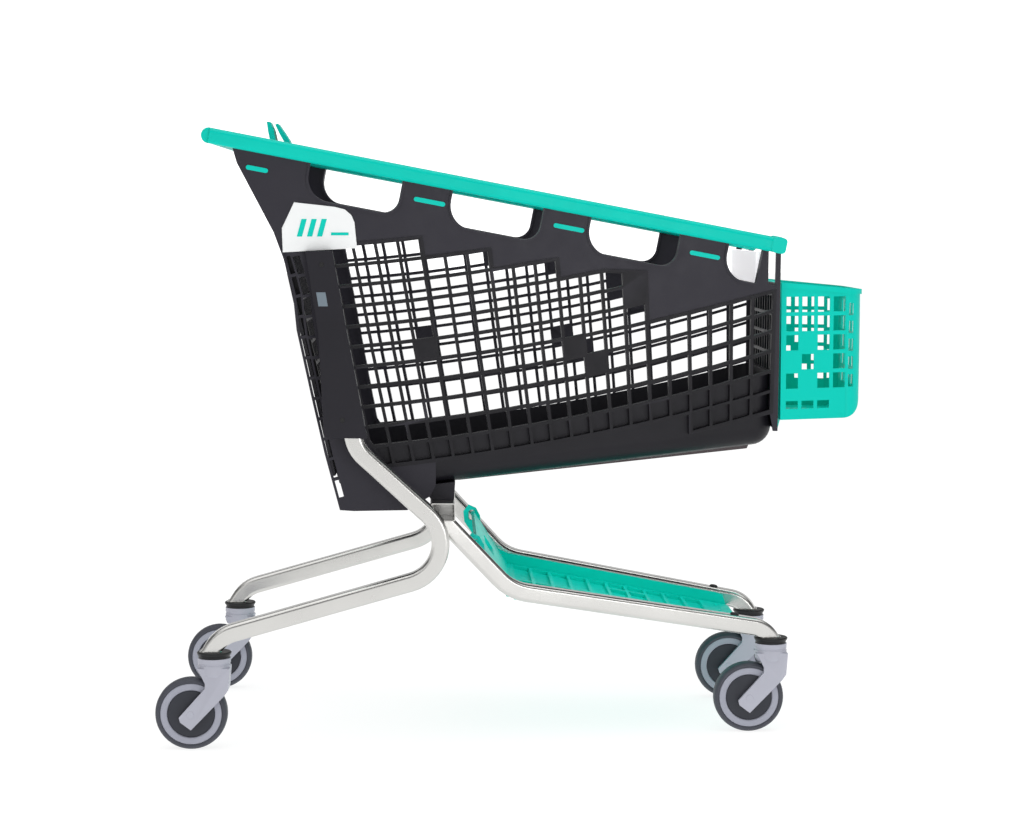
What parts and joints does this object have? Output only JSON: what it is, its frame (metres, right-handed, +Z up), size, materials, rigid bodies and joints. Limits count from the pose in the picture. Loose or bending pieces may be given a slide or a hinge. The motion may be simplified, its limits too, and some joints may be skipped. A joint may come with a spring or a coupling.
{
  "type": "nesting shopping cart",
  "caption": "Nesting shopping cart with a moulded grille basket, bent steel tube chassis on swivel casters, hinged rear gate, lower tray and a small front hand basket.",
  "frame": {"origin": "on the floor under the middle of the overall box", "axes": "+X towards the cart's front, the way it is pushed; +Y towards its left side; +Z up"},
  "size_m": [1.253, 0.6422, 1.09],
  "materials": {
    "bright_tube": "satin bright, like zinc or nickel plate under lacquer",
    "steel": "satin",
    "black_plastic": "fine grain, slight sheen",
    "teal_plastic": "satin gloss",
    "cap_plastic": "satin",
    "fork_grey": "fine grain",
    "hub_dark": "satin",
    "wheel_grey": "satin",
    "tyre": "smooth non-marking rubber",
    "white_card": "satin",
    "pale_panel": "frosted",
    "label": "satin",
    "runner": "satin",
    "rubber": "matt"
  },
  "bodies": {
    "chassis": {"frame_tube_right": "bright_tube", "frame_tube_left": "bright_tube", "front_leg_right": "bright_tube", "front_leg_left": "bright_tube", "cross_tube": "bright_tube", "floor_saddles": "black_plastic", "caster_stems": "steel", "swivel_caps": "cap_plastic", "leg_plugs": "rubber", "side_shell_right": "black_plastic", "side_shell_left": "black_plastic", "side_grille_right": "black_plastic", "side_grille_left": "black_plastic", "gate_stop_right": "black_plastic", "gate_stop_left": "black_plastic", "pillar_cover_right": "black_plastic", "pillar_cover_left": "black_plastic", "floor_tub": "black_plastic", "floor_runners": "runner", "front_grille": "black_plastic", "display_panel": "pale_panel", "rear_beam": "black_plastic", "note_clip": "teal_plastic", "rail_right": "teal_plastic", "rail_left": "teal_plastic", "handle_bar": "teal_plastic", "slot_inserts_right": "teal_plastic", "slot_inserts_left": "teal_plastic", "side_plate_right": "white_card", "side_plate_left": "white_card", "plate_mark_right": "teal_plastic", "plate_mark_left": "teal_plastic", "pillar_labels": "label", "hinge_pin": "steel", "lower_tray": "teal_plastic", "front_basket": "teal_plastic"},
    "gate": {"rear_gate": "black_plastic"},
    "caster_rear_right": {"fork_rear_right": "fork_grey", "axle_rear_right": "steel"},
    "wheel_rear_right": {"hub_rear_right": "hub_dark", "rim_rear_right": "wheel_grey", "tyre_rear_right": "tyre"},
    "caster_rear_left": {"fork_rear_left": "fork_grey", "axle_rear_left": "steel"},
    "wheel_rear_left": {"hub_rear_left": "hub_dark", "rim_rear_left": "wheel_grey", "tyre_rear_left": "tyre"},
    "caster_front_right": {"fork_front_right": "fork_grey", "axle_front_right": "steel"},
    "wheel_front_right": {"hub_front_right": "hub_dark", "rim_front_right": "wheel_grey", "tyre_front_right": "tyre"},
    "caster_front_left": {"fork_front_left": "fork_grey", "axle_front_left": "steel"},
    "wheel_front_left": {"hub_front_left": "hub_dark", "rim_front_left": "wheel_grey", "tyre_front_left": "tyre"}
  },
  "joints": [
    {"name": "gate_swing", "type": "hinge", "parent": "chassis", "child": "gate", "pos_m": [-0.421, 0, 1], "axis": [0, -1, 0], "range_deg": [0, 70]},
    {"name": "swivel_rear_right", "type": "hinge", "parent": "chassis", "child": "caster_rear_right", "pos_m": [-0.524, -0.275, 0.145], "axis": [0, 0, 1], "continuous": true},
    {"name": "roll_rear_right", "type": "hinge", "parent": "caster_rear_right", "child": "wheel_rear_right", "pos_m": [-0.564, -0.275, 0.0625], "axis": [0, 1, 0], "continuous": true},
    {"name": "swivel_rear_left", "type": "hinge", "parent": "chassis", "child": "caster_rear_left", "pos_m": [-0.524, 0.275, 0.145], "axis": [0, 0, 1], "continuous": true},
    {"name": "roll_rear_left", "type": "hinge", "parent": "caster_rear_left", "child": "wheel_rear_left", "pos_m": [-0.564, 0.275, 0.0625], "axis": [0, 1, 0], "continuous": true},
    {"name": "swivel_front_right", "type": "hinge", "parent": "chassis", "child": "caster_front_right", "pos_m": [0.459, -0.156, 0.145], "axis": [0, 0, 1], "continuous": true},
    {"name": "roll_front_right", "type": "hinge", "parent": "caster_front_right", "child": "wheel_front_right", "pos_m": [0.419, -0.156, 0.0625], "axis": [0, 1, 0], "continuous": true},
    {"name": "swivel_front_left", "type": "hinge", "parent": "chassis", "child": "caster_front_left", "pos_m": [0.459, 0.156, 0.145], "axis": [0, 0, 1], "continuous": true},
    {"name": "roll_front_left", "type": "hinge", "parent": "caster_front_left", "child": "wheel_front_left", "pos_m": [0.419, 0.156, 0.0625], "axis": [0, 1, 0], "continuous": true}
  ]
}
